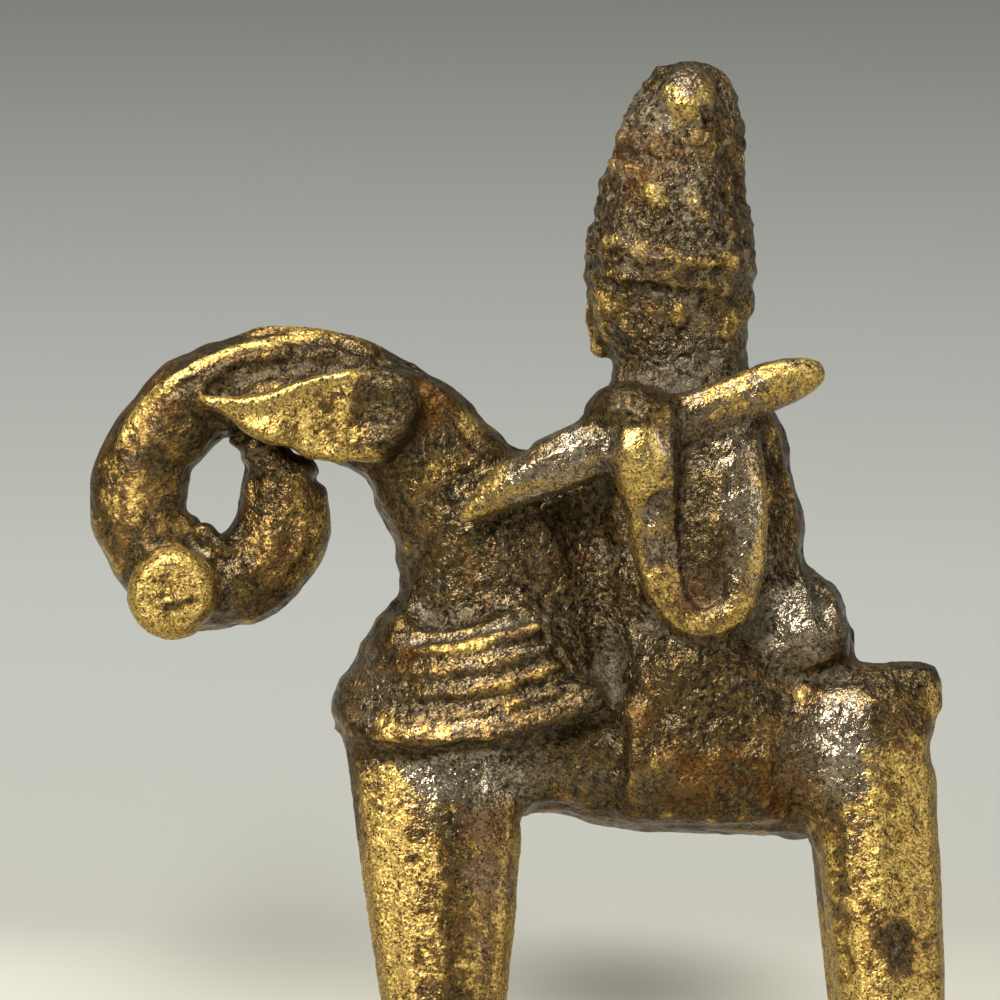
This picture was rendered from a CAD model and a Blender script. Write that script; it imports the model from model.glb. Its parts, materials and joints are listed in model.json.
"""Small cast bronze horse and rider: the fused, worn skin of the casting, its finish, and a plain studio.

The wax elements come from the frame. Here they are melted into one skin, as in the mould, worn by handling,
and cut back into one closed piece for each element. Lengths are millimetres in the work on the metal, and
metres in the studio.
"""
import json
import math

import bpy
import numpy as np
import openvdb as vdb
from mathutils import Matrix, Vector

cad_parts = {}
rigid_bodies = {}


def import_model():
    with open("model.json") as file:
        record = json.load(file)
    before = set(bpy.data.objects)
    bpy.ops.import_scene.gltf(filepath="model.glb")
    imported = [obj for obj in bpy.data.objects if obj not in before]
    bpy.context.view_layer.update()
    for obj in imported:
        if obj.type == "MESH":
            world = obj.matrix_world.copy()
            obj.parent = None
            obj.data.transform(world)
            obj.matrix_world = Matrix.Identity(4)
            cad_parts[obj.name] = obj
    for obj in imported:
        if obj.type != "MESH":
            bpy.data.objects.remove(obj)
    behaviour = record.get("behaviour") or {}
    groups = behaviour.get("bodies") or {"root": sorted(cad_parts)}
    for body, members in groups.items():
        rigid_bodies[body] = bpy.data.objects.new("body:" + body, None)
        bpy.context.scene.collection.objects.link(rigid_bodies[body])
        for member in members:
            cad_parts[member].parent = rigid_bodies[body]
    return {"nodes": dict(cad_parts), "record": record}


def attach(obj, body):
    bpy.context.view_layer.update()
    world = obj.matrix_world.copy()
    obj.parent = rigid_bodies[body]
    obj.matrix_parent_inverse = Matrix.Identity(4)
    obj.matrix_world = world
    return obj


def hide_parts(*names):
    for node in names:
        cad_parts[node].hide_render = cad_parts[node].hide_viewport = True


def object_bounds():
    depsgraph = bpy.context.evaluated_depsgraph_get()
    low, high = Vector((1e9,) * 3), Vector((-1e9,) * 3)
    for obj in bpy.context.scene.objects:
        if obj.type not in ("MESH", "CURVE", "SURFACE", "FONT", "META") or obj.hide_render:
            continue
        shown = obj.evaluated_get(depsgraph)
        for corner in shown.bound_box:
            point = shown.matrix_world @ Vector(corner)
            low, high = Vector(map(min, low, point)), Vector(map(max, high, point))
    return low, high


for leftover in list(bpy.data.objects):
    bpy.data.objects.remove(leftover)
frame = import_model()
cad_box = [list(corner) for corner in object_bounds()]
cad_limits = np.array(cad_box) * 1000

# Fields of distances: edge of one cell, how many cells and how far they reach on either side of a surface,
# and the empty cells left round the figure
CELL = 0.13
BAND = 11
FAR = BAND * CELL
PAD = BAND + 3

# Random lattice: its cells along one edge, after which it repeats, and its shift from one seed to the next
LATTICE = 53
LATTICE_SHIFT = 11.3

# Random forms of the metal: size in millimetres, and seed
WAVES = {
    "broad lumps": (2.6, 1),
    "lumps": (1.25, 2),
    "grain": (0.62, 3),
    "fine grain": (0.36, 4),
    "pits": (0.6, 5),
    "crags": (0.95, 12),
    "wide patches of wear": (3.4, 6),
    "patches of wear": (1.5, 7),
    "dirt": (2.0, 8),
    "wide rust": (2.8, 9),
    "rust": (0.9, 10),
    "polish": (1.7, 11),
    "border of a finish": (0.9, 21),
    "wander along X": (0.8, 22),
    "wander along Z": (0.8, 23),
    "uneven bead": (0.9, 31),
    "edge of a spot along X": (1.3, 32),
    "edge of a spot along Z": (1.3, 33),
}

# First seed of the elements' own unevenness
ELEMENT_SEED = 40

# How softly an element melts into what it was pressed on
MELT = {
    "foreleg": 1.3,
    "hindleg": 1.3,
    "tail": 0.8,
    "thigh": 1.1,
    "saddle_cantle": 0.8,
    "saddle_cloth": 1.8,
    "rider_torso": 1.2,
    "rider_head": 0.9,
    "neck": 1.2,
    "crest": 0.6,
    "breast_pad": 0.8,
    "breast_thread": 0.5,
    "breast_hem": 0.5,
    "cap_knob": 0.6,
    "lance": 0.65,
    "arm": 0.75,
    "ear": 0.6,
    "eye": 0.6,
}
MELT_OTHER = 0.6

# A bead that the tool adds varies in thickness by this share, and follows the skin in legs of this length
BEAD_UNEVEN = 0.15
BEAD_LEG = 0.3

# How unevenly an element was made: height and size of the lumps in its form
UNEVEN = {
    "saddle_cloth": (0.32, 1.3),
    "cap": (0.18, 1.5),
    "cap_knob": (0, 1),
    "ear": (0.1, 1.1),
    "breast_thread": (0.08, 1.6),
    "breast_hem": (0.08, 1.8),
    "rider_head": (0.18, 1.4),
    "rider_torso": (0.2, 1.8),
    "saddle_cantle": (0.15, 1.3),
    "arm": (0.08, 1.6),
}

# Narrower crevices than this are filled, and sharper edges rounded
CREVICE_FILL = 0.2
EDGE_ROUND = 0.13

# Neighbouring pieces share a hidden rim, along which each dips under the other
RIM = 0.4
DIP = 0.5

# Heights of the casting's roughness, where the finish's own roughness is 1. The least lump is there on any
# finish, and crags only on a rougher one than CRAGS_FROM.
LEAST_LUMP = 0.015
BROAD_LUMP = 0.05
LUMP = 0.045
CRAG = 0.05
GRAIN = 0.035
FINE_GRAIN = 0.022
PIT = 0.06
CRAGS_FROM = 0.8
CRAG_CREST = 0.6
CRAG_FALL = 2
PITS_FROM = 0.45
PITS_DEEPEST = 0.75
LEAST_ROUGH = 0.15

# What the form adds to a place's wear: how far it stands out near and wide, how open it lies, its grain and
# its lumps
WEAR_OF_RIDGE = 3.0
WEAR_OF_SWELL = 0.5
WEAR_OF_OPENNESS = 0.5
OPEN_BELOW = 0.4
WEAR_OF_GRAIN = 1.8
WEAR_OF_LUMPS = 0.8
WEAR_TAKEN_OFF = 0.12
LEAST_WEAR = -0.5

# What makes a place's dirt: the finish's own, more where metal crowds round it, less where it stands out
DIRT_OF_FINISH = 0.7
DIRT_OF_CROWD = 2.4
CROWDED_ABOVE = 0.48
DIRT_OFF_RIDGE = 2.5
DIRT_OFF_SWELL = 0.8

# How far each part of the finish swings from patch to patch
PATCHES = {
    "wide patches of wear": 0.18,
    "patches of wear": 0.16,
    "dirt": 0.25,
    "wide rust": 0.45,
    "rust": 0.2,
    "polish": 0.15,
}

# Finish of each element: how much brass shows, how much dirt lies in it, how red it is, how polished its
# brown skin is, and how rough its surface
LOOK = {
    "horse_trunk": (0.2, 0.25, 0.35, 0, 0.8),
    "neck_and_head": (0.13, 0.2, 0.3, 0, 0.8),
    "foreleg": (0.44, 0.05, 0.3, 0, 0.4),
    "hindleg": (0.64, 0.05, 0.2, 0, 0.3),
    "tail_stub": (-0.1, 0.3, 0.2, 0, 0.9),
    "ear": (0.72, 0, 0.1, 0, 0.25),
    "eye": (0.52, 0, 0.1, 0, 0.5),
    "crest_ridge": (0.18, 0.15, 0.2, 0, 0.6),
    "saddle_cloth": (0.02, 0.2, 0.55, 0, 0.7),
    "rider_torso": (0.1, 0.42, 0.3, 0, 1.1),
    "saddle_cantle": (-0.1, 0.2, 0.35, 0.1, 0.8),
    "thigh": (0.05, 0.3, 0.3, 0, 1.0),
    "breast_pad": (0.12, 0.28, 0.3, 0, 0.9),
    "breast_thread": (0.14, 0.25, 0.35, 0, 0.7),
    "breast_hem": (0.09, 0.15, 0.3, -0.2, 0.6),
    "rider_head": (0.2, 0.5, 0.15, 0.1, 1.8),
    "cap": (0.0, 0.3, 0.45, 0.05, 2.0),
    "cap_knob": (0.36, 0, 0.2, 0.4, 0.5),
    "lance": (0.18, 0.1, 0.3, 0.25, 0.45),
    "arm": (0.2, 0.1, 0.3, 0.2, 0.35),
}

# How far one element's finish runs into the next, and how far that border and the lines below stray
BLEND = 0.25
BORDER_STRAY = 0.3
LINE_STRAY = 0.2

# How steeply a place or a line fades, and how far a spot's border strays in finish, smoothing and swell
FADE = 1.2
SPOT_STRAY = 0.5
SWELL_STRAY = 0.15

# Places with a finish of their own, as seen from the left: middle and half size along X and Z, then what is
# added to the five values there
PLACES = [
    ("front of the foreleg", (-6.9, 15.5), (1.4, 7.0), (0.18, 0, 0, 0, 0.2)),
    ("back of the foreleg", (-1.2, 16.0), (2.2, 6.0), (-0.3, 0, 0.45, 0.2, 0)),
    ("tail", (20.0, 26.2), (2.6, 1.6), (-1.0, 0.2, 0.2, -0.8, 0.5)),
    ("side of the rump", (19.9, 23.3), (2.2, 1.6), (-0.6, 0.2, 0.5, -0.3, 0.3)),
    ("corner of the tail", (22.0, 24.3), (0.7, 0.8), (0.5, -0.1, 0, 0.2, 0)),
    ("end of the hem", (4.3, 24.5), (1.5, 1.2), (-0.6, 0.2, 0, -0.1, 0.3)),
    ("under the hem", (-2.9, 20.3), (3.4, 1.5), (-0.2, -0.9, -0.2, 1.6, 0)),
    ("front of the hind leg", (16.7, 16.0), (1.3, 6.5), (-0.35, 0, 0.1, 0, 0)),
    ("blot on the hind leg", (19.9, 11.6), (1.2, 1.2), (-0.6, 0.1, 0, 0, 0)),
    ("haunch", (17.2, 22.0), (1.8, 2.8), (-0.5, -0.2, 0, 1.0, -0.1)),
    ("root of the ear", (-6.1, 39.3), (2.1, 2.7), (-2.0, 0.3, 0.2, -1.4, 0.7)),
    ("end of the curl", (-12.4, 37.0), (2.2, 1.3), (-0.4, 0.3, 0, 0, 0.3)),
    ("inner half of the ring", (-12.6, 34.0), (2.4, 3.4), (-0.1, 0.1, 0.1, 0, 0.2)),
    ("outer edge of the ring", (-20.6, 36.0), (1.4, 5.0), (0.25, 0, 0, -0.3, -0.4)),
    ("shoulder", (5.4, 39.7), (2.4, 1.4), (-0.8, 0, -0.1, -1.2, -0.2)),
    ("middle of the lance", (3.4, 37.2), (1.6, 1.6), (-0.15, 0, 0.2, 0.5, 0)),
    ("bend of the arm", (9.6, 29.4), (2.4, 1.0), (-0.1, 0, 0.3, 0, 0)),
    ("front of the arm", (6.5, 36.6), (1.2, 2.8), (0.4, -0.1, 0, 0.2, -0.3)),
    ("middle of the front limb", (7.4, 32.6), (1.2, 1.6), (-0.15, 0, 0.3, 0.2, 0)),
    ("trough of the arm", (9.6, 33.6), (1.5, 4.2), (-0.4, 0.1, 0.2, -0.4, 0.8)),
    ("ring", (-18.4, 35.6), (2.6, 5.0), (0.2, 0, 0.1, -0.9, 0)),
    ("inside of the ring", (-12.4, 33.4), (2.0, 3.2), (0.2, 0, 0.1, -0.2, 0.1)),
    ("glint on the arm", (6.3, 36.9), (0.8, 1.3), (0.6, -0.3, -0.2, 1.4, -0.3)),
    ("upper brown dent", (7.6, 34.8), (0.7, 0.7), (-0.9, 0, 0.3, 0.3, 0)),
    ("lower brown dent", (7.3, 32.3), (0.7, 0.6), (-0.8, 0, 0.3, 0.3, 0)),
    ("back of the neck", (-4.8, 40.0), (1.6, 1.6), (-0.1, 0, 0.3, 0, 0)),
    ("back limb of the arm", (11.9, 34.6), (1.0, 3.6), (-0.2, -0.1, 0.5, 0.4, 0)),
    ("left of the cap", (6.6, 52.4), (2.4, 2.2), (0.05, -0.1, 0.6, 0, 0)),
    ("crust on the cap", (9.0, 50.2), (1.6, 2.2), (-0.1, 0.45, -0.3, 0.2, 0.6)),
    ("foot of the cap", (6.6, 48.2), (3.4, 1.2), (0.1, -0.1, 0.3, 0, 0)),
    ("top of the cap", (7.2, 55.0), (2.4, 1.3), (-0.05, -0.1, 0, 0.3, 0.4)),
    ("cantle", (14.9, 28.4), (1.8, 1.8), (-0.45, -0.3, 0, 1.3, 0)),
    ("hollow before the rider", (3.5, 29.4), (1.6, 4.4), (-0.1, -1.3, 0, -0.4, 0.4)),
    ("start of the threads", (-6.5, 27.3), (1.0, 1.0), (-0.6, 0.2, 0.3, -0.3, 0.3)),
    ("left of the eye", (-18.6, 30.0), (0.6, 0.5), (0.35, 0, 0, 0, -0.1)),
    ("right of the eye", (-17.2, 30.1), (0.6, 0.5), (0.35, 0, 0, 0, -0.1)),
    ("top of the eye", (-18.0, 31.5), (1.4, 0.5), (0.4, 0, -0.2, 1.0, 0)),
    ("fork under the arm", (6.4, 30.0), (1.0, 1.6), (0, -0.8, 0, -0.2, 0.2)),
    ("middle of the cloth", (9.2, 21.5), (3.0, 2.6), (0.04, -0.1, 0.3, 0, 0)),
    ("belly by the haunch", (14.4, 19.4), (1.6, 1.4), (0, -0.2, 0.5, 0, 0)),
    ("foot of the ring", (-15.9, 32.7), (1.4, 1.0), (-0.4, 0.5, 0, 0, 0.6)),
    ("front of the collar", (-8.3, 24.7), (1.6, 2.2), (-0.05, 0.25, 0, 0.3, 0.1)),
    ("back of the collar", (2.6, 26.8), (1.6, 3.0), (-0.25, 0.3, 0, 0, 0.3)),
    ("back of the rider", (14.2, 36.0), (1.4, 3.6), (0.1, -0.25, 0, 0, -0.5)),
    ("end of the threads", (0.3, 27.6), (2.0, 1.4), (-0.4, 0.1, 0.2, 0, 0.6)),
    ("top of the knob", (8.2, 57.2), (1.8, 0.8), (-0.7, 0.2, 0, -0.2, 0.5)),
    ("under the knob", (8.4, 54.6), (1.0, 0.6), (0.4, 0, 0, 0.3, 0)),
    ("point of the lance", (1.0, 35.6), (1.8, 1.2), (-0.05, 0, 0, 0.5, 0)),
]

# Lines along which wear has bared or a shadow has browned the metal: route, half width, and the same five
# values
LINES = [
    ("rim of the arch", [(-21.0, 37.6), (-19.6, 40.0), (-17.4, 41.6), (-14.9, 42.7), (-11.4, 43.2)],
     0.22, (0.8, -0.3, 0, 0.8, -0.8)),
    ("inside of the rim", [(-20.1, 36.6), (-18.7, 39.1), (-16.9, 40.6), (-15.3, 41.5)],
     0.5, (-0.35, 0.1, 0.2, -0.8, 0.3)),
    ("outside of the arch", [(-21.4, 38.6), (-20.2, 40.6), (-17.8, 42.4), (-15.0, 43.5)],
     0.5, (-0.1, -0.1, 0.3, -0.4, -0.8)),
    ("rim over the neck", [(-9.6, 43.0), (-6.9, 41.9), (-4.2, 39.7), (-1.8, 37.6)],
     0.5, (0.2, 0, 0.3, 0.2, 0)),
    ("channel of the arch", [(-15.2, 40.9), (-14.0, 41.7), (-12.1, 42.1), (-9.8, 42.1), (-7.4, 41.6)],
     0.9, (-0.4, 0.5, 0, -0.8, 0.6)),
    ("edge of the ear", [(-16.1, 39.7), (-13.5, 39.6), (-11.3, 40.6), (-9.0, 41.1)],
     0.42, (0.8, -0.3, 0, 1.3, -0.4)),
    ("crest of the hem", [(-8.6, 23.4), (-6.6, 22.7), (-4.6, 22.6), (-1.2, 23.2)],
     0.35, (0.3, -0.2, 0, 0.4, -0.3)),
    ("lip under the hem", [(-8.7, 21.6), (-4.5, 21.2), (0.2, 21.9), (2.6, 22.4)],
     0.4, (-1.2, 0.2, 0.2, -0.6, 0)),
    ("underside of the hem", [(-8.4, 22.6), (-4.8, 21.9), (-1.0, 22.4), (3.8, 23.4)],
     0.4, (-0.4, 0.2, 0, 0, 0)),
    ("top crest of the collar", [(-6.4, 27.1), (-2.4, 27.6), (1.7, 28.4)], 0.35, (0.25, -0.2, 0, 0.4, 0)),
    ("stain of the eye", [(-18.9, 28.5), (-18.2, 29.2), (-17.2, 29.3)], 0.2, (-0.4, 0.1, 0, 0, 0.5)),
    ("front edge of the foreleg", [(-8.8, 20.5), (-8.3, 14.0), (-7.6, 8.0)], 0.3, (-0.6, 0, 0.3, 0, 0)),
    ("streak of the foreleg", [(-6.6, 22.0), (-6.4, 16.0), (-5.9, 9.0)], 0.6, (0.3, 0, 0, 0, -0.3)),
    ("right edge of the arm", [(13.0, 37.0), (13.1, 33.4), (12.2, 30.4)], 0.3, (0.3, -0.1, 0, 0, 0)),
]

# Places where a thumb or wear half smoothed the form: middle, half size, share of smoothing, and whether it
# took away wide forms too
SMOOTHED = [
    ("front of the cap", (8.6, 49.9), (2.8, 4.2), 0.7, False),
    ("front of the collar", (-8.6, 25.2), (1.6, 2.6), 0.8, True),
    ("front of the hem", (-9.9, 22.9), (0.9, 0.9), 0.9, True),
    ("start of the mane", (-16.2, 43.3), (2.4, 1.2), 0.9, True),
    ("outside of the arch", (-20.2, 41.2), (1.9, 2.2), 0.9, True),
    ("outside of the ring", (-22.0, 35.5), (1.0, 4.5), 0.9, True),
    ("far side of the curl", (-10.4, 33.8), (1.0, 3.0), 0.8, True),
    ("end of the tail", (22.2, 25.6), (1.2, 1.2), 0.8, True),
    ("corner of the curl's end", (-10.2, 36.0), (0.9, 0.9), 0.9, True),
]

# Reach along Y that takes in the whole figure
THROUGH = 100

# Blurs of the body's field, in cells, and of its halved and quartered copies, in their own cells
NARROW_BLUR = 2.2
WIDE_BLUR = 5.0
HALVED_BLUR = 3.4
QUARTERED_BLUR = 3.6
HALVED = 2
QUARTERED = 4
BLUR_REACH = 2.6

# Where the casting swells past the modelled elements or falls short of them: middle, half size, height
SWELLS = [
    ("nape", (-3.5, 40.2), (2.0, 1.8), 0.42),
    ("top of the arch", (-9.4, 43.3), (3.0, 1.0), 0.16),
    ("top of the nape", (-5.0, 41.6), (0.7, 0.6), 0.22),
    ("start of the mane", (-15.2, 43.5), (1.0, 0.7), -0.15),
    ("corner of the arch", (-17.9, 42.8), (0.9, 0.9), -0.28),
    ("outside of the ring", (-22.5, 34.8), (1.0, 3.2), 0.26),
    ("inner edge of the arch", (-16.5, 37.6), (1.1, 1.1), 0.15),
    ("inner edge of the ring", (-17.8, 35.2), (0.8, 1.2), 0.3),
    ("foot of the ring's opening", (-17.0, 33.4), (1.0, 0.8), 0.55),
    ("top of the ring's opening", (-15.3, 38.0), (0.8, 0.7), 0.4),
    ("inner edge of the curl", (-14.7, 34.9), (0.8, 1.5), 0.3),
    ("far side of the curl", (-10.3, 32.4), (1.2, 1.9), 0.38),
    ("end of the curl", (-10.2, 36.1), (0.7, 0.8), -0.5),
    ("underside of the curl", (-15.4, 27.7), (1.6, 0.8), -0.28),
    ("underside of the ear", (-13.6, 38.0), (1.6, 0.7), 0.3),
    ("lower edge of the ear", (-10.4, 36.7), (1.3, 0.6), 0.32),
    ("throat", (-8.3, 35.3), (1.0, 1.1), -0.38),
    ("front of the neck", (-6.2, 31.0), (0.6, 1.0), 0.3),
    ("front of the hem", (-9.7, 22.3), (0.7, 0.8), -0.3),
    ("front of the collar", (-9.3, 24.5), (1.0, 1.1), 0.4),
    ("root of the neck", (0.0, 37.5), (0.8, 0.7), -0.3),
    ("front of the foreleg", (-8.1, 11.0), (1.4, 9.0), 0.12),
    ("back of the foreleg", (-0.1, 11.5), (1.4, 8.5), 0.28),
    ("back of the hind leg", (22.3, 11.5), (1.3, 8.5), 0.28),
    ("under the tail", (22.2, 21.4), (0.7, 1.0), -0.3),
    ("belly behind the foreleg", (2.0, 17.7), (1.9, 0.9), -0.45),
    ("belly before the hind leg", (15.1, 16.6), (1.0, 0.6), 0.3),
    ("top of the cantle", (16.0, 30.8), (1.1, 0.9), 0.5),
    ("back of the cantle", (17.8, 28.3), (0.9, 1.2), -0.35),
    ("back of the rider", (14.4, 37.7), (0.7, 0.9), 0.32),
    ("back of the cap's tip", (11.9, 54.9), (1.0, 1.9), 0.36),
    ("front of the cap's tip", (6.0, 55.4), (1.0, 1.4), 0.26),
    ("front of the cap's foot", (3.6, 47.7), (0.8, 1.0), -0.28),
    ("front of the cap", (4.1, 50.5), (0.6, 1.0), -0.22),
]


def by_name(table, name, other=None):
    """Value of the longest key that the name starts with."""
    keys = [key for key in table if name.startswith(key)]
    return table[max(keys, key=len)] if keys else other


def node_mesh(obj):
    """Welded points in millimetres and triangles of a frame node."""
    count = len(obj.data.vertices)
    points = np.empty(count * 3, np.float32)
    obj.data.vertices.foreach_get("co", points)
    obj.data.calc_loop_triangles()
    corners = np.empty(len(obj.data.loop_triangles) * 3, np.int32)
    obj.data.loop_triangles.foreach_get("vertices", corners)
    points = points.reshape(-1, 3) * 1000
    _, first, back = np.unique(np.round(points, 4), axis=0, return_index=True, return_inverse=True)
    return points[first], back.reshape(-1)[corners].reshape(-1, 3).astype(np.uint32)


def distance(points, triangles=None, quads=None):
    """Level set round a closed surface, as a dense array and the index of its first cell."""
    transform = vdb.createLinearTransform(voxelSize=CELL)
    faces = {key: value for key, value in (("triangles", triangles), ("quads", quads)) if value is not None}
    grid = vdb.FloatGrid.createLevelSetFromPolygons(points, transform=transform, halfWidth=BAND, **faces)
    low, high = grid.evalActiveVoxelBoundingBox()
    dense = np.empty([high[i] - low[i] + 1 for i in range(3)], np.float32)
    grid.copyToArray(dense, ijk=low)
    return dense, np.array(low)


def skin(dense, low, level=0.0):
    """Quads of the surface where a dense field has the given level."""
    grid = vdb.FloatGrid(FAR)
    grid.copyFromArray(dense, ijk=tuple(int(i) for i in low))
    grid.transform = vdb.createLinearTransform(voxelSize=CELL)
    grid.gridClass = vdb.GridClass.LEVEL_SET
    return grid.convertToQuads(level)


def smooth_min(a, b, melt):
    """Smaller of two fields, with the corner between them filled over a width."""
    near = np.maximum(melt - np.abs(a - b), 0) / melt
    return np.minimum(a, b) - near * near * melt / 4


def window(low, shape, base):
    """Slices of the whole field that a part's own field covers."""
    start = low - base
    return tuple(slice(int(s), int(s + n)) for s, n in zip(start, shape))


def redistance(dense, base, level):
    """Field measured afresh from one of its own level surfaces, on the same cells."""
    points, quads = skin(dense, base, level)
    fresh, low = distance(points, quads=quads)
    whole = np.where(dense > level, FAR, -FAR).astype(np.float32)
    whole[window(low, fresh.shape, base)] = fresh
    return whole


def blur(field, sigma):
    """Gaussian blur, with sigma in cells."""
    reach = math.ceil(sigma * BLUR_REACH)
    weights = np.exp(-0.5 * (np.arange(-reach, reach + 1) / sigma) ** 2)
    weights /= weights.sum()
    for axis in range(3):
        padded = np.pad(field, [(reach, reach) if i == axis else (0, 0) for i in range(3)], mode="edge")
        total = np.zeros_like(field)
        for step, weight in enumerate(weights):
            cut = [slice(None)] * 3
            cut[axis] = slice(step, step + field.shape[axis])
            total += np.float32(weight) * padded[tuple(cut)]
        field = total
    return field


def coarser(field):
    """Half as many cells along each axis, by averaging."""
    nx, ny, nz = (n // 2 * 2 for n in field.shape)
    return field[:nx, :ny, :nz].reshape(nx // 2, 2, ny // 2, 2, nz // 2, 2).mean(axis=(1, 3, 5))


def weights_of_corners(share):
    """The eight corners of a cell, with the weight of each for places at the given shares of its edges."""
    for corner in np.ndindex(2, 2, 2):
        yield corner, math.prod(share[:, axis] if corner[axis] else 1 - share[:, axis] for axis in range(3))


def sample(field, base, points, factor=1):
    """Value of a field, or of one coarser by a factor, at points in millimetres, by linear interpolation."""
    place = (points / CELL - base - (factor - 1) / 2) / factor
    first = np.clip(np.floor(place).astype(np.int32), 0, np.array(field.shape) - 2)
    total = 0
    for corner, weight in weights_of_corners(np.clip(place - first, 0, 1)):
        x, y, z = (first + corner).T
        total = total + weight * field[x, y, z]
    return total


def slope(field, base, points):
    """Unit direction in which a field grows."""
    out = np.empty_like(points)
    for axis in range(3):
        step = np.zeros(3)
        step[axis] = CELL * 0.6
        out[:, axis] = sample(field, base, points + step) - sample(field, base, points - step)
    return out / np.maximum(np.linalg.norm(out, axis=1, keepdims=True), 1e-6)


def rough(points, size, seed):
    """Smooth random value between -1 and 1, with lumps of about the given size."""
    lattice = np.random.default_rng(seed).uniform(-1, 1, (LATTICE,) * 3).astype(np.float32)
    place = points / size + LATTICE_SHIFT * seed
    first = np.floor(place).astype(np.int64)
    share = place - first
    share = share * share * share * (share * (share * 6 - 15) + 10)
    total = 0
    for corner, weight in weights_of_corners(share):
        x, y, z = ((first + corner) % LATTICE).T
        total = total + weight * lattice[x, y, z]
    return total


def wave(points, name):
    """One of the named random forms."""
    return rough(points, *WAVES[name])


def ease(low, high, value):
    """Smooth step from nothing at the low value to one at the high value."""
    share = np.clip((value - low) / (high - low), 0, 1)
    return share * share * (3 - 2 * share)


# What the modeller's tool added to the wax (+1) or pressed into it (-1). A route is X and Z on the left,
# and lies on the skin there, or X, Y and Z. Then come its radius, how deep its line lies under the skin, its
# melt, the sign, and whether the right side has it too.
STROKES = [
    ("crest rim",
     [(-21.0, 37.8), (-19.6, 40.0), (-17.4, 41.6), (-14.9, 42.7), (-11.4, 43.2), (-8.9, 42.8), (-6.9, 41.9)],
     0.28, 0.08, 0.35, 1, True),
    ("line under the rim", [(-13.2, 42.3), (-11.5, 42.5), (-9.8, 42.2)], 0.18, 0.05, 0.2, 1, False),
    ("upper edge of the ear", [(-16.1, 39.85), (-13.5, 39.75), (-11.3, 40.7), (-9.0, 41.25), (-7.4, 41.2)],
     0.2, 0.04, 0.3, 1, True),
    ("upper winding of the cap", [(5.8, 53.85), (6.5, 53.7), (7.5, 53.2)], 0.26, 0.1, 0.3, 1, False),
    ("scrap on the cap", [(8.8, 53.5), (9.5, 53.8)], 0.22, 0.06, 0.25, 1, False),
    ("broken winding of the cap", [(5.2, 52.6), (6.4, 51.7), (7.5, 50.8)], 0.28, 0.08, 0.35, 1, False),
    ("crust of the cap", [(7.4, 50.6), (8.4, 49.8), (9.4, 50.2), (10.2, 49.4)], 0.36, 0.12, 0.5, 1, False),
    ("lower winding of the cap", [(5.0, 48.3), (7.0, 47.7), (9.4, 47.2), (11.3, 47.3)],
     0.3, 0.1, 0.4, 1, False),
    ("hollow of the cap", [(6.6, 50.0), (6.9, 49.2)], 0.5, -0.3, 0.5, -1, False),
    ("furrow of the cap", [(5.2, 53.2), (6.6, 52.9), (7.8, 52.2)], 0.3, -0.12, 0.3, -1, False),
    ("low furrow of the cap", [(7.2, 48.5), (9.2, 48.1), (11.2, 48.3)], 0.3, -0.12, 0.3, -1, False),
    ("hole in the cap", [(10.7, 49.9), (10.9, 49.3)], 0.34, -0.18, 0.3, -1, False),
    ("pit by the knob", [(10.0, 55.2), (10.3, 54.6)], 0.3, -0.15, 0.3, -1, False),
    ("drop by the eye", [(-14.7, 31.0), (-14.35, 29.95)], 0.32, 0.1, 0.25, 1, False),
    ("crust in the ring", [(-16.5, -1.2, 32.7), (-15.7, -1.7, 32.1), (-15.1, -1.2, 31.9)],
     0.45, 0, 0.5, 1, False),
    ("shadow under the hem", [(-8.2, 22.0), (-4.9, 21.4), (-1.2, 21.9), (3.0, 22.9)],
     0.3, -0.05, 0.25, -1, True),
    ("end of the collar", [(3.9, 24.3), (3.9, 25.2), (3.4, 26.0), (2.9, 26.9)], 0.55, 0.2, 0.8, 1, True),
    ("step over the collar", [(-6.2, -2.6, 27.9), (-6.85, 0, 27.9), (-6.2, 2.6, 27.9)],
     0.65, 0, 1.2, 1, False),
    ("tip of the curl", [(-14.56, 0, 38.03), (-14.35, 0, 37.2)], 0.36, 0, 0.3, 1, False),
    ("swelling of the front limb", [(6.3, 37.0), (6.7, 35.5)], 1.05, 0.7, 0.9, 1, True),
    ("dip of the tail", [(19.4, -2.0, 26.5), (19.4, 2.0, 26.4)], 0.45, 0, 0.4, -1, False),
    ("root of the ear", [(-6.6, 40.9), (-6.0, 39.8), (-6.3, 38.6), (-7.4, 37.7)], 0.8, 0.7, 0.8, 1, True),
    ("nick over the collar", [(-3.2, 29.7), (-1.4, 29.3)], 0.14, 0.04, 0.15, 1, False),
    ("arc on the thigh", [(8.6, 26.5), (9.6, 26.25), (10.7, 26.4)], 0.15, 0.03, 0.15, 1, True),
    ("knob of the saddle", [(6.3, 27.5), (7.9, 27.0)], 0.35, 0.15, 0.35, 1, True),
    ("crust of the cloth", [(6.5, 24.8), (8.2, 24.4), (9.7, 24.3), (11.7, 24.2)], 0.2, 0.08, 0.25, 1, True),
    ("low lobe of the cantle", [(14.3, 25.8), (14.9, 24.6), (15.1, 23.8)], 0.9, 0.55, 1.0, 1, True),
    ("groove of the cantle", [(16.1, 29.9), (16.4, 28.4), (16.2, 26.8)], 0.5, -0.25, 0.5, -1, True),
    ("slope inside the arm", [(11.1, 37.3), (11.2, 34.7), (10.8, 31.9)], 0.8, 0.4, 0.9, 1, True),
    ("lump in the arm", [(10.2, 30.3)], 0.35, 0.15, 0.3, 1, True),
    ("dent in the arm", [(7.3, 34.5), (6.9, 33.7)], 0.5, -0.3, 0.3, -1, False),
]

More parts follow.
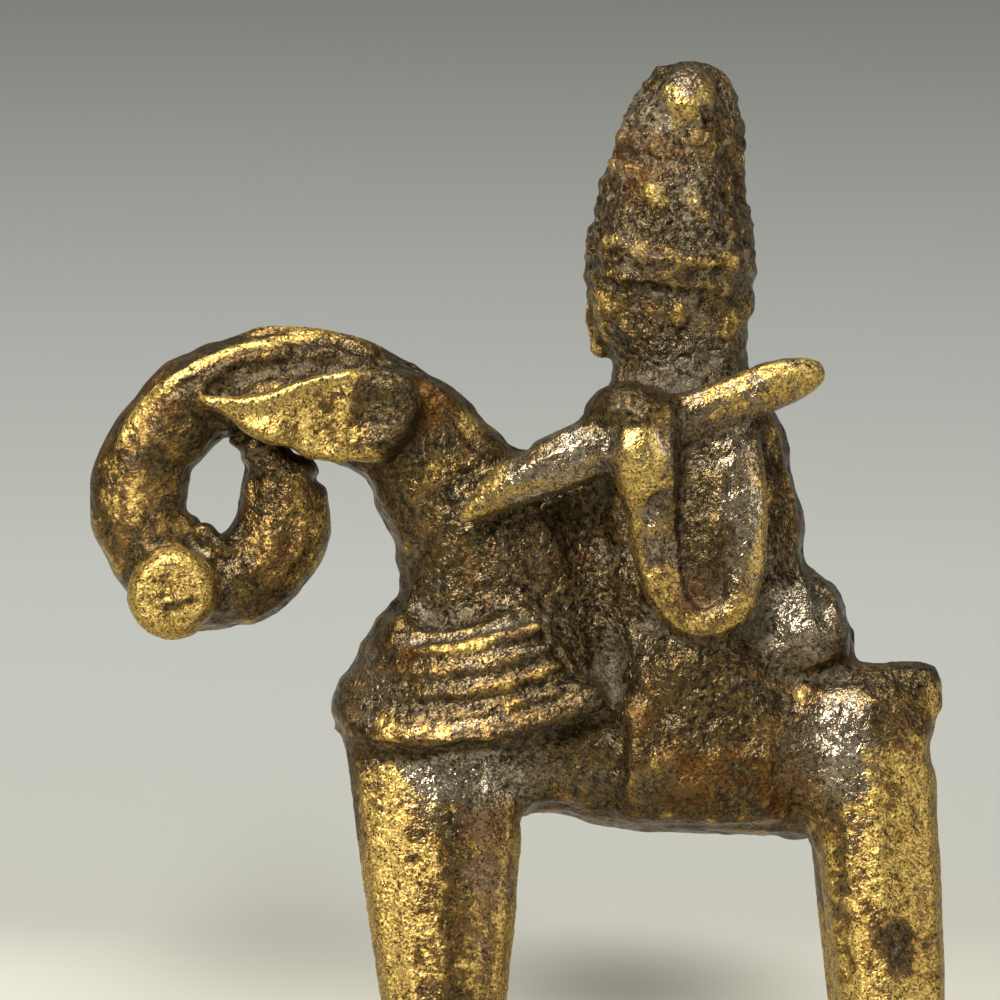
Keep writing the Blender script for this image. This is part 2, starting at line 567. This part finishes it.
# This one is pressed in before the ear goes on
CHANNEL = [
    ("channel along the arch", [(-15.6, 40.6), (-14.2, 41.5), (-12.1, 42.1), (-9.8, 42.0), (-7.7, 41.1)],
     0.9, -0.45, 0.5, -1, True),
]


def legs_of(route):
    """Pairs of neighbouring points, or one point twice."""
    return list(zip(route, route[1:])) or [(route[0], route[0])]


def route_distance(route, cells):
    """Distance from the middles of cells to a chain of straight legs."""
    best = np.full(cells.shape[:-1], np.inf, np.float32)
    for start, end in legs_of(route):
        a, b = np.array(start), np.array(end)
        along = b - a
        share = np.clip(((cells - a) @ along) / max(along @ along, 1e-9), 0, 1)
        best = np.minimum(best, np.linalg.norm(cells - a - share[..., None] * along, axis=-1))
    return best


def on_skin(route, depth, side):
    """Points close together along a route of X and Z, at a depth under the skin on one side."""
    points = []
    for start, end in legs_of(route):
        count = max(int(math.dist(start, end) / BEAD_LEG), 1)
        for share in np.arange(count + 1) / count:
            x, z = np.array(start) * (1 - share) + np.array(end) * share
            column = body[int(round(x / CELL)) - base[0], :, int(round(z / CELL)) - base[2]]
            solid = np.nonzero(column < 0)[0]
            if len(solid):
                y = (solid[0] if side < 0 else solid[-1]) + base[1]
                points.append((x, y * CELL - side * depth, z))
    return points


def region(low, high):
    """Part of the body between two corners in millimetres: its slices, and the middles of its cells."""
    low = np.maximum(np.floor(low / CELL).astype(int), base)
    high = np.minimum(np.ceil(high / CELL).astype(int), top)
    rows = [np.arange(low[axis], high[axis]) * CELL for axis in range(3)]
    return window(low, high - low, base), np.stack(np.meshgrid(*rows, indexing="ij"), -1)


def stroke(route, radius, depth, melt, sign, side):
    """Adds a bead along a route to the body, or takes one away."""
    if len(route[0]) == 2:
        points = on_skin(route, depth, side)
    else:
        points = [(x, -side * y, z) for x, y, z in route]
    reach = radius * 1.5 + melt + 3 * CELL
    at, cells = region(np.min(points, axis=0) - reach, np.max(points, axis=0) + reach)
    uneven = 1 + BEAD_UNEVEN * wave(cells.reshape(-1, 3), "uneven bead").reshape(cells.shape[:-1])
    bead = route_distance(points, cells) - radius * uneven
    body[at] = smooth_min(body[at], bead, melt) if sign > 0 else -smooth_min(-body[at], bead, melt)


def make_strokes(strokes):
    """Makes each stroke on the left side, and on the right side where that has it too."""
    for _, route, radius, depth, melt, sign, twin in strokes:
        for side in (-1, 1) if twin else (-1,):
            stroke(route, radius, depth, melt, sign, side)


def spot(points, middle, size, stray=SPOT_STRAY):
    """One at the middle of a place, falling to nothing past its half size, with a ragged border."""
    x = (points[:, 0] - middle[0] + stray * wave(points, "edge of a spot along X")) / size[0]
    z = (points[:, 2] - middle[1] + stray * wave(points, "edge of a spot along Z")) / size[1]
    return np.exp(-FADE * (x * x + z * z) ** 1.5)


# Melt the elements into one field
nodes = frame["nodes"]
order = [part["node"] for part in frame["record"]["subparts"]]
fields = {}
for name in order:
    points, triangles = node_mesh(nodes[name])
    fields[name] = distance(points, triangles=triangles)
base = np.min([low for _, low in fields.values()], axis=0) - PAD
top = np.max([low + dense.shape for dense, low in fields.values()], axis=0) + PAD
shape = top - base
body = np.full(shape, FAR, np.float32)
nearest = np.full(shape, FAR, np.float32)
second = np.full(shape, FAR, np.float32)
owner = np.full(shape, -1, np.int8)
for index, name in enumerate(order):
    if name == "ear_left":
        make_strokes(CHANNEL)
    dense, low = fields[name]
    at = window(low, dense.shape, base)
    form = dense
    if by_name(UNEVEN, name):
        high, size = by_name(UNEVEN, name)
        cells = (np.indices(dense.shape).reshape(3, -1).T + low) * CELL
        form = dense + high * rough(cells, size, ELEMENT_SEED + index).reshape(dense.shape)
    body[at] = smooth_min(body[at], form, by_name(MELT, name, MELT_OTHER))
    closer = dense < nearest[at]
    second[at] = np.where(closer, nearest[at], np.minimum(second[at], dense))
    nearest[at] = np.where(closer, dense, nearest[at])
    owner[at] = np.where(closer, index, owner[at])
make_strokes(STROKES)

# Fill the narrow crevices and round the edges, as wax and wear do
body = redistance(body, base, CREVICE_FILL) + CREVICE_FILL
body = redistance(body, base, -EDGE_ROUND) - EDGE_ROUND

# Wear the form away in places
near_blur = blur(body, NARROW_BLUR)
far_blur = blur(body, WIDE_BLUR)
for _, middle, size, amount, wide in SMOOTHED:
    centre = np.array([middle[0], 0, middle[1]])
    reach = np.array([size[0] * 2, THROUGH, size[1] * 2])
    at, cells = region(centre - reach, centre + reach)
    share = spot(cells.reshape(-1, 3), middle, size).reshape(cells.shape[:-1])
    body[at] += amount * share * ((far_blur if wide else near_blur)[at] - body[at])

# Fields that say how exposed a place is: how far it stands out of the form close by and further off, and
# how much metal there is round it
near_blur = blur(body, NARROW_BLUR)
halved = coarser(body)
wide_blur = blur(halved, HALVED_BLUR)
solidity = blur(coarser(np.clip(0.5 - halved / (2 * CELL), 0, 1)), QUARTERED_BLUR)


def largest_skin(points, quads):
    """Keeps the largest connected skin, so that no crumb is left beside a piece."""
    label = np.arange(len(points))
    edges = np.concatenate([quads[:, [i, (i + 1) % 4]] for i in range(4)])
    while True:
        low = np.minimum(label[edges[:, 0]], label[edges[:, 1]])
        fresh = label.copy()
        np.minimum.at(fresh, edges[:, 0], low)
        np.minimum.at(fresh, edges[:, 1], low)
        fresh = fresh[fresh]
        if (fresh == label).all():
            break
        label = fresh
    keep = label == np.bincount(label).argmax()
    number = np.cumsum(keep) - 1
    return points[keep], number[quads[keep[quads[:, 0]]]]


def surface_of(name, index):
    """One element's share of the melted skin."""
    dense, low = fields[name]
    at = window(low, dense.shape, base)
    other = np.where(owner[at] == index, second[at], nearest[at])
    share = (dense - other) / 2
    dip = DIP * np.square(np.maximum(share, 0))
    piece = np.maximum(body[at] + dip, share - RIM)
    closed = np.full(np.array(dense.shape) + 2, FAR, np.float32)
    closed[1:-1, 1:-1, 1:-1] = piece
    points, quads = skin(closed, low - 1)
    return largest_skin(points.astype(np.float64), quads.astype(np.int64))


def look_at(points):
    """Finish of the elements round each point, blended where they meet, with the places that stand out."""
    stray = BORDER_STRAY * wave(points, "border of a finish")
    total = np.zeros((len(points), 5))
    weight = np.zeros(len(points))
    for index, (name, (dense, low)) in enumerate(fields.items()):
        place = points / CELL - low
        inside = np.all((place > 0) & (place < np.array(dense.shape) - 1), axis=1)
        if inside.any():
            way = 1 if index % 2 else -1
            away = sample(dense, low, points[inside]) + way * stray[inside]
            share = np.exp(-np.maximum(away, 0) / BLEND)
            total[inside] += share[:, None] * by_name(LOOK, name)
            weight[inside] += share
    look = total / np.maximum(weight, 1e-6)[:, None]
    for _, middle, size, change in PLACES:
        look += spot(points, middle, size)[:, None] * change
    wander = np.stack([wave(points, "wander along X"), wave(points, "wander along Z")], axis=1)
    flat = points[:, [0, 2]] + LINE_STRAY * wander
    for _, route, half_width, change in LINES:
        away = route_distance(route, flat) / half_width
        look += np.exp(-FADE * away ** 3)[:, None] * change
    return look.T


def patch(points, name):
    """Swing of a part of the finish from patch to patch."""
    return PATCHES[name] * wave(points, name)


def finish_of(points):
    """Moves a piece's points by the lumps and pits of the casting, and gives each its finish."""
    brass, dirt, red, polish, rugged = look_at(points)
    rugged = np.maximum(rugged, LEAST_ROUGH)

    # Form of the casting
    lumps = (LEAST_LUMP + BROAD_LUMP * rugged) * wave(points, "broad lumps")
    lumps += LUMP * rugged * wave(points, "lumps")
    crest = CRAG_CREST - np.abs(wave(points, "crags")) * CRAG_FALL
    crags = CRAG * np.square(np.maximum(rugged - CRAGS_FROM, 0)) * crest
    grain = rugged * (GRAIN * wave(points, "grain") + FINE_GRAIN * wave(points, "fine grain"))
    pits = -PIT * rugged * ease(PITS_FROM, PITS_DEEPEST, wave(points, "pits"))
    height = lumps + crags + grain + pits
    for _, middle, size, amount in SWELLS:
        height += amount * spot(points, middle, size, SWELL_STRAY)
    moved = np.clip(points + slope(body, base, points) * height[:, None], *cad_limits)

    # Hands wear what stands out, near and wide, and dirt stays where metal crowds round a hollow
    ridge = sample(near_blur, base, points)
    swell = sample(wide_blur, base, points, HALVED)
    crowd = sample(solidity, base, points, QUARTERED)
    high = (
        WEAR_OF_RIDGE * ridge + WEAR_OF_SWELL * swell + WEAR_OF_OPENNESS * (OPEN_BELOW - crowd)
        + WEAR_OF_GRAIN * (grain + pits) + WEAR_OF_LUMPS * (lumps + crags) - WEAR_TAKEN_OFF
    )
    sunk = DIRT_OF_CROWD * (crowd - CROWDED_ABOVE) - DIRT_OFF_RIDGE * ridge - DIRT_OFF_SWELL * swell
    worn = patch(points, "wide patches of wear") + patch(points, "patches of wear")
    rusty = red + patch(points, "wide rust") + patch(points, "rust")
    return moved, {
        "wear": np.clip(brass + high + worn, LEAST_WEAR, 1),
        "grime": np.clip(dirt * DIRT_OF_FINISH + sunk + patch(points, "dirt"), 0, 1),
        "redness": np.clip(rusty, 0, 1),
        "polish": np.clip(polish + patch(points, "polish"), -1, 1),
        "rugged": rugged,
    }


def build(name, points, quads, values):
    """Object of one piece, with its finish stored on its points."""
    mesh = bpy.data.meshes.new(name + "_metal")
    mesh.vertices.add(len(points))
    mesh.vertices.foreach_set("co", (points / 1000).astype(np.float32).ravel())
    mesh.loops.add(len(quads) * 4)
    mesh.loops.foreach_set("vertex_index", quads.astype(np.int32).ravel())
    mesh.polygons.add(len(quads))
    mesh.polygons.foreach_set("loop_start", np.arange(0, len(quads) * 4, 4, dtype=np.int32))
    mesh.update(calc_edges=True)
    mesh.validate()
    for key, value in values.items():
        attribute = mesh.attributes.new(key, "FLOAT", "POINT")
        attribute.data.foreach_set("value", value.astype(np.float32))
    mesh.shade_smooth()
    piece = bpy.data.objects.new(name + "_metal", mesh)
    bpy.context.scene.collection.objects.link(piece)
    return piece


def turned(points, quads):
    """True if the faces look into the metal."""
    a, b, c = (points[quads[:, i]] for i in range(3))
    d = points[quads[:, 3]]
    area = np.cross(c - a, d - b)
    return np.sum(area * (a + c) / 2) < 0


# Sockets of a node that mixes colours
MIX_SHARE = 0
MIX_FIRST = 6
MIX_SECOND = 7
MIX_RESULT = 2


class Nodes:
    """Shorthand for a material's node tree."""

    def __init__(self, name):
        self.material = bpy.data.materials.new(name)
        self.material.use_nodes = True
        self.tree = self.material.node_tree
        self.tree.nodes.clear()

    def add(self, kind, values=None, **settings):
        """New node, with each socket linked to another node's output or given a constant."""
        node = self.tree.nodes.new(kind)
        for key, value in settings.items():
            setattr(node, key, value)
        for key, value in (values or {}).items():
            socket = node.inputs[key]
            if isinstance(value, bpy.types.NodeSocket):
                self.tree.links.new(value, socket)
            else:
                socket.default_value = value
        return node

    def value(self, name):
        """Number stored on the mesh's points."""
        return self.add("ShaderNodeAttribute", attribute_name=name).outputs["Fac"]

    def math(self, operation, a, b=0.0, clamp=False):
        return self.add("ShaderNodeMath", {0: a, 1: b}, operation=operation, use_clamp=clamp).outputs[0]

    def chain(self, operation, values, clamp):
        """The same operation from one value to the next, with the last result clamped or not."""
        total = values[0]
        for number, value in enumerate(values[1:], 2):
            total = self.math(operation, total, value, clamp=clamp and number == len(values))
        return total

    def plus(self, *values, clamp=False):
        return self.chain("ADD", values, clamp)

    def times(self, *values, clamp=False):
        return self.chain("MULTIPLY", values, clamp)

    def weigh(self, weights, values):
        """Sum of values, each times its weight."""
        return self.plus(*[self.times(values[key], weight) for key, weight in weights.items()])

    def minus(self, a, b):
        return self.math("SUBTRACT", a, b)

    def rest(self, share, amount=1.0):
        """What is left of one when an amount of a share is taken away."""
        return self.minus(1.0, self.times(share, amount))

    def swing(self, value, amount):
        """A noise's swing round its middle, made larger or smaller."""
        return self.times(self.minus(value, 0.5), amount)

    def spread(self, value, low, high):
        """Smooth step from nothing at the low value to one at the high value."""
        values = {"Value": value, "From Min": low, "From Max": high}
        return self.add("ShaderNodeMapRange", values, interpolation_type="SMOOTHSTEP").outputs["Result"]

    def mix(self, share, a, b):
        """Colour between two colours."""
        values = {MIX_SHARE: share, MIX_FIRST: a, MIX_SECOND: b}
        return self.add("ShaderNodeMix", values, data_type="RGBA").outputs[MIX_RESULT]

    def noise(self, where, size, detail, roughness, distortion=0.0):
        """Noise between 0 and 1, with its size in millimetres."""
        values = {
            "Vector": where,
            "Scale": 1000 / size,
            "Detail": detail,
            "Roughness": roughness,
            "Distortion": distortion,
        }
        return self.add("ShaderNodeTexNoise", values).outputs["Fac"]


# Colours of the metal, as written on a screen
TONES = {
    "dull brass": (142, 111, 50),
    "bright brass": (218, 188, 110),
    "black skin": (20, 15, 8),
    "brown skin": (104, 84, 46),
    "olive skin": (76, 60, 32),
    "thin skin": (146, 108, 50),
    "polished skin": (184, 170, 144),
    "rust": (114, 68, 18),
    "pit": (18, 13, 8),
    "dark dirt": (36, 30, 19),
    "pale dirt": (104, 91, 63),
    "hollow": (24, 17, 10),
    "dark crust": (86, 73, 46),
    "pale crust": (162, 146, 106),
}

# Noises of the metal: size in millimetres, detail, roughness, distortion
NOISES = {
    "dots": (0.15, 3, 0.6),
    "speck": (0.36, 5, 0.62, 0.6),
    "patch": (1.2, 5, 0.62, 0.6),
    "broad": (4.0, 3, 0.5),
    "holes": (0.26, 2, 0.55, 1.8),
    "flakes": (0.62, 4, 0.6, 1.2),
    "relief": (0.5, 3, 0.55, 0.5),
    "fine relief": (0.22, 2, 0.5),
}

# Where each mask of the metal begins and where it is full, on the scale of the value that makes it
STEPS = {
    "holes": (0.55, 0.6),
    "dotted": (0.36, 0.64),
    "brass": (0.37, 0.53),
    "bright brass": (0.34, 0.66),
    "brown skin": (0.36, 0.64),
    "olive skin": (0.4, 0.62),
    "rust": (0.55, 1.2),
    "thin skin": (0.05, 0.45),
    "gloss": (0.6, 0.9),
    "dirt": (0.45, 1.1),
    "coarse": (1.1, 2.9),
    "crust": (0.53, 0.6),
    "hollow": (0.45, 0.37),
}

# How much of what is under it each of these hides
COVER = {
    "olive skin": 0.35,
    "rust": 0.5,
    "thin skin": 0.6,
    "pit": 0.7,
    "dirt": 0.6,
    "crust": 0.75,
    "hollow": 0.75,
}

# What the veil of old skin is made of, and how much of it is gone everywhere
VEIL = {"speck": 1.4, "patch": 2.0, "dots": 0.8}
VEIL_GONE = -2.1
HOLES_IN_BRASS = 0.9

# What polish, rust and dirt take from the noises
GLOSS = {"speck": 1.0, "patch": 0.5}
GLOSS_LEAST = 0.25
GLOSS_PATCHY = 0.65
RUST_SWING = 2.0
DIRT_SPECK_SWING = 2.2
DIRT_PATCH_SWING = 1.2

# How metallic the skin is, what rust adds, and what dirt and crust hide. Bare brass is all metal.
SKIN_METALLIC = 0.78
RUST_METALLIC = 0.12
DIRT_HIDES = 0.9
CRUST_HIDES = 1.2

# How rough the skin is, and what each of these adds
SKIN_ROUGHNESS = 0.22
ROUGHNESS = {"dots": 0.12, "brass": 0.22, "cover": 0.2, "polish": -0.14, "dirt": 0.4}
SPECULAR = 0.6

# Relief too fine for the mesh: its height in metres, and the shares of its parts in it
BUMP_HEIGHT = 0.0002
FINE_RELIEF = 0.25
SMOOTH_RELIEF = 0.35
HOLES_RELIEF = -0.15
CRUST_RELIEF = 0.45


def rgb(red, green, blue):
    """Linear colour from one written as on a screen, 0 to 255."""
    def linear(level):
        level /= 255
        return level / 12.92 if level <= 0.04045 else ((level + 0.055) / 1.055) ** 2.4
    return (linear(red), linear(green), linear(blue), 1.0)


def metal(name):
    """Cast brass under a brown skin: brass where hands have worn it, dirt where they don't reach."""
    n = Nodes(name)
    where = n.add("ShaderNodeTexCoord").outputs["Object"]
    tones = {key: rgb(*tone) for key, tone in TONES.items()}
    noises = {key: n.noise(where, *row) for key, row in NOISES.items()}
    rugged = n.value("rugged")
    polish = n.value("polish")
    speck = noises["speck"]
    patchy = noises["patch"]

    def step(kind, value):
        return n.spread(value, *STEPS[kind])

    def cover(kind, mask):
        return n.times(mask, COVER[kind])

    def coat(under, kind, mask):
        return n.mix(cover(kind, mask), under, tones[kind])

    # The veil lies over the brass, and wear decides how much of it is left
    holes = step("holes", noises["holes"])
    dotted = step("dotted", noises["dots"])
    bare = n.minus(n.value("wear"), n.plus(n.weigh(VEIL, noises), VEIL_GONE))
    brass = n.times(step("brass", bare), n.rest(holes, HOLES_IN_BRASS))
    bright = step("bright brass", noises["dots"])
    brass_tone = n.mix(bright, tones["dull brass"], tones["bright brass"])

    # The skin is black to brown, redder in patches, thin next to the brass, and pale where it is polished
    rust = step("rust", n.plus(n.value("redness"), n.swing(patchy, RUST_SWING)))
    gloss = step("gloss", n.weigh(GLOSS, noises))
    gloss = n.times(polish, n.plus(GLOSS_LEAST, n.times(gloss, GLOSS_PATCHY)), clamp=True)
    tone = n.mix(step("brown skin", speck), tones["black skin"], tones["brown skin"])
    tone = coat(tone, "olive skin", step("olive skin", noises["broad"]))
    tone = coat(tone, "rust", rust)
    tone = coat(tone, "thin skin", step("thin skin", bare))
    tone = n.mix(gloss, tone, tones["polished skin"])
    tone = coat(tone, "pit", holes)
    colour = n.mix(brass, tone, brass_tone)

    # Dirt in the hollows
    dirt = n.plus(n.value("grime"), n.swing(speck, DIRT_SPECK_SWING), n.swing(patchy, DIRT_PATCH_SWING))
    dirt = cover("dirt", step("dirt", dirt))
    colour = n.mix(dirt, colour, n.mix(dotted, tones["dark dirt"], tones["pale dirt"]))

    # Crust that stands on the roughest casting, and the hollows that it leaves open
    coarse = step("coarse", rugged)
    crust = cover("crust", n.times(step("crust", noises["flakes"]), coarse))
    hollow = cover("hollow", n.times(step("hollow", noises["flakes"]), coarse))
    colour = n.mix(hollow, colour, tones["hollow"])
    colour = n.mix(crust, colour, n.mix(dotted, tones["dark crust"], tones["pale crust"]))

    rusted = n.times(rust, n.rest(brass))
    metallic = n.plus(SKIN_METALLIC, n.times(brass, 1 - SKIN_METALLIC), clamp=True)
    metallic = n.times(metallic, n.rest(dirt, DIRT_HIDES), clamp=True)
    metallic = n.times(metallic, n.rest(crust, CRUST_HIDES), clamp=True)
    metallic = n.plus(metallic, n.times(rusted, RUST_METALLIC), clamp=True)
    parts = {
        "dots": noises["dots"],
        "brass": brass,
        "cover": n.plus(rusted, crust),
        "polish": polish,
        "dirt": dirt,
    }
    roughness = n.plus(SKIN_ROUGHNESS, n.weigh(ROUGHNESS, parts), clamp=True)

    relief = n.plus(noises["relief"], n.times(noises["fine relief"], FINE_RELIEF))
    relief = n.times(relief, n.plus(SMOOTH_RELIEF, n.times(rugged, 1 - SMOOTH_RELIEF)))
    crusted = n.times(n.minus(crust, hollow), CRUST_RELIEF)
    relief = n.plus(relief, n.times(holes, HOLES_RELIEF), crusted)
    bump = n.add("ShaderNodeBump", {"Strength": 1.0, "Distance": BUMP_HEIGHT, "Height": relief})
    surface = {
        "Base Color": colour,
        "Metallic": metallic,
        "Roughness": roughness,
        "Normal": bump.outputs["Normal"],
        "Specular IOR Level": SPECULAR,
    }
    shader = n.add("ShaderNodeBsdfPrincipled", surface)
    n.add("ShaderNodeOutputMaterial", {"Surface": shader.outputs[0]})
    return n.material


metals = {slot: metal(slot) for slot in ("worn_brass", "brown_bronze", "dark_patina")}
slots = {s["node"]: s["material_slot"] for s in frame["record"]["subparts"]}
for index, name in enumerate(order):
    points, quads = surface_of(name, index)
    if turned(points, quads):
        quads = quads[:, ::-1]
    moved, values = finish_of(points)
    piece = build(name, moved, quads, values)
    piece.data.materials.append(metals[slots[name]])
    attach(piece, "root")
    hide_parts(name)

# Camera at the photograph's angle: level, square to the figure's left side. The frame is as wide as this in
# the plane of the figure's middle.
EYE = (-0.000853, -0.3, 0.03467)
FRAME_WIDE = 0.05333
SENSOR = 36
NEAREST_SEEN = 0.01
FURTHEST_SEEN = 20
camera = bpy.data.cameras.new("camera")
camera.sensor_width = SENSOR
camera.lens = SENSOR * abs(EYE[1]) / FRAME_WIDE
camera.clip_start = NEAREST_SEEN
camera.clip_end = FURTHEST_SEEN
viewer = bpy.data.objects.new("camera", camera)
viewer.location = EYE
viewer.rotation_euler = (math.pi / 2, 0, 0)
bpy.context.scene.collection.objects.link(viewer)
bpy.context.scene.camera = viewer

# Floor and backdrop: one sweep of pale paper, darker towards its top
SWEEP_FRONT = -1.2
SWEEP_BACK = 0.32
SWEEP_ROUND = 0.16
SWEEP_STEPS = 12
SWEEP_HIGH = 0.9
SWEEP_HALF = 1.2

# The paper's shade along its run, from the floor behind the figure to the top of the picture
SHADE_FROM = 0.09
SHADE_TO = 0.39
SHADES = [
    (0.0, (222, 218, 202)),
    (0.5, (200, 200, 191)),
    (0.62, (193, 195, 187)),
    (0.82, (165, 166, 161)),
    (1.0, (124, 126, 121)),
]

# Soft pools of light and shade on the paper: middle and reach across and along it, strength, tone
POOLS = [
    ((0.0, -0.5), (1.2, 0.56), 0.9, (70, 68, 62)),
    ((-0.05, 0.09), (0.035, 0.09), 0.68, (255, 252, 236)),
    ((0.008, 0.1), (0.019, 0.07), 0.85, (128, 126, 114)),
    ((-0.01, 0.125), (0.024, 0.075), 0.33, (150, 147, 136)),
    ((-0.019, 0.16), (0.014, 0.07), 0.25, (150, 147, 136)),
]

# How bright the paper glows by itself, and how much of it the camera and the metal see by that glow
GLOW = 0.55
GLOW_SHARE = 0.5


def paper():
    """Paper with a printed shade, light at the floor and grey high on the backdrop, with soft pools."""
    n = Nodes("studio_paper")
    where = n.add("ShaderNodeTexCoord").outputs["Object"]
    x, y, z = n.add("ShaderNodeSeparateXYZ", {0: where}).outputs
    along = n.plus(y, z)
    run = n.add("ShaderNodeMapRange", {"Value": along, "From Min": SHADE_FROM, "From Max": SHADE_TO})
    ramp = n.add("ShaderNodeValToRGB", {"Fac": run.outputs["Result"]})
    first, last = ramp.color_ramp.elements
    first.color, last.color = rgb(*SHADES[0][1]), rgb(*SHADES[-1][1])
    for position, tone in SHADES[1:-1]:
        ramp.color_ramp.elements.new(position).color = rgb(*tone)
    colour = ramp.outputs["Color"]
    for middle, reach, strength, tone in POOLS:
        dx = n.math("DIVIDE", n.minus(x, middle[0]), reach[0])
        dy = n.math("DIVIDE", n.minus(along, middle[1]), reach[1])
        away = n.math("SQRT", n.plus(n.times(dx, dx), n.times(dy, dy)))
        colour = n.mix(n.times(n.spread(away, 1.0, 0.0), strength), colour, rgb(*tone))
    diffuse = n.add("ShaderNodeBsdfDiffuse", {"Color": colour})
    glow = n.add("ShaderNodeEmission", {"Color": colour, "Strength": GLOW})
    path = n.add("ShaderNodeLightPath")
    seen = n.plus(path.outputs["Is Camera Ray"], path.outputs["Is Glossy Ray"], clamp=True)
    surface = {0: n.times(seen, GLOW_SHARE), 1: diffuse.outputs[0], 2: glow.outputs[0]}
    both = n.add("ShaderNodeMixShader", surface)
    n.add("ShaderNodeOutputMaterial", {"Surface": both.outputs[0]})
    return n.material


def sweep_of_paper():
    """Floor that turns up into the backdrop."""
    bend = SWEEP_BACK - SWEEP_ROUND
    profile = [(SWEEP_FRONT, 0.0), (bend, 0.0)]
    for step in range(1, SWEEP_STEPS + 1):
        turn = math.pi / 2 * step / SWEEP_STEPS
        profile.append((bend + SWEEP_ROUND * math.sin(turn), SWEEP_ROUND * (1 - math.cos(turn))))
    profile.append((SWEEP_BACK, SWEEP_HIGH))
    mesh = bpy.data.meshes.new("studio_sweep")
    corners = [(side * SWEEP_HALF, y, z) for y, z in profile for side in (-1, 1)]
    faces = [(2 * i, 2 * i + 1, 2 * i + 3, 2 * i + 2) for i in range(len(profile) - 1)]
    mesh.from_pydata(corners, [], faces)
    mesh.shade_smooth()
    mesh.materials.append(paper())
    sweep = bpy.data.objects.new("studio_sweep", mesh)
    bpy.context.scene.collection.objects.link(sweep)


sweep_of_paper()

# Lamps: name, place, size, power in watts
LAMPS = [
    ("key", (-0.24, -0.42, 0.34), (0.22, 0.22), 4.5),
    ("fill", (0.42, -0.3, 0.16), (0.16, 0.3), 0.7),
    ("top", (-0.04, -0.14, 0.6), (0.3, 0.26), 3.3),
]
LIT = (0, 0, 0.03)
WORLD_TONE = (196, 198, 196)
WORLD_STRENGTH = 0.11


def lamp(name, place, size, power):
    """Soft lamp turned to the figure."""
    light = bpy.data.lights.new(name, "AREA")
    light.shape = "RECTANGLE"
    light.size, light.size_y = size
    light.energy = power
    holder = bpy.data.objects.new(name, light)
    holder.location = place
    direction = np.array(LIT) - np.array(place)
    holder.rotation_euler = Vector(direction).to_track_quat("-Z", "Y").to_euler()
    bpy.context.scene.collection.objects.link(holder)


for row in LAMPS:
    lamp(*row)
world = bpy.data.worlds.new("studio")
world.use_nodes = True
background = world.node_tree.nodes["Background"]
background.inputs["Color"].default_value = rgb(*WORLD_TONE)
background.inputs["Strength"].default_value = WORLD_STRENGTH
bpy.context.scene.world = world
bpy.context.scene.view_settings.view_transform = "Standard"
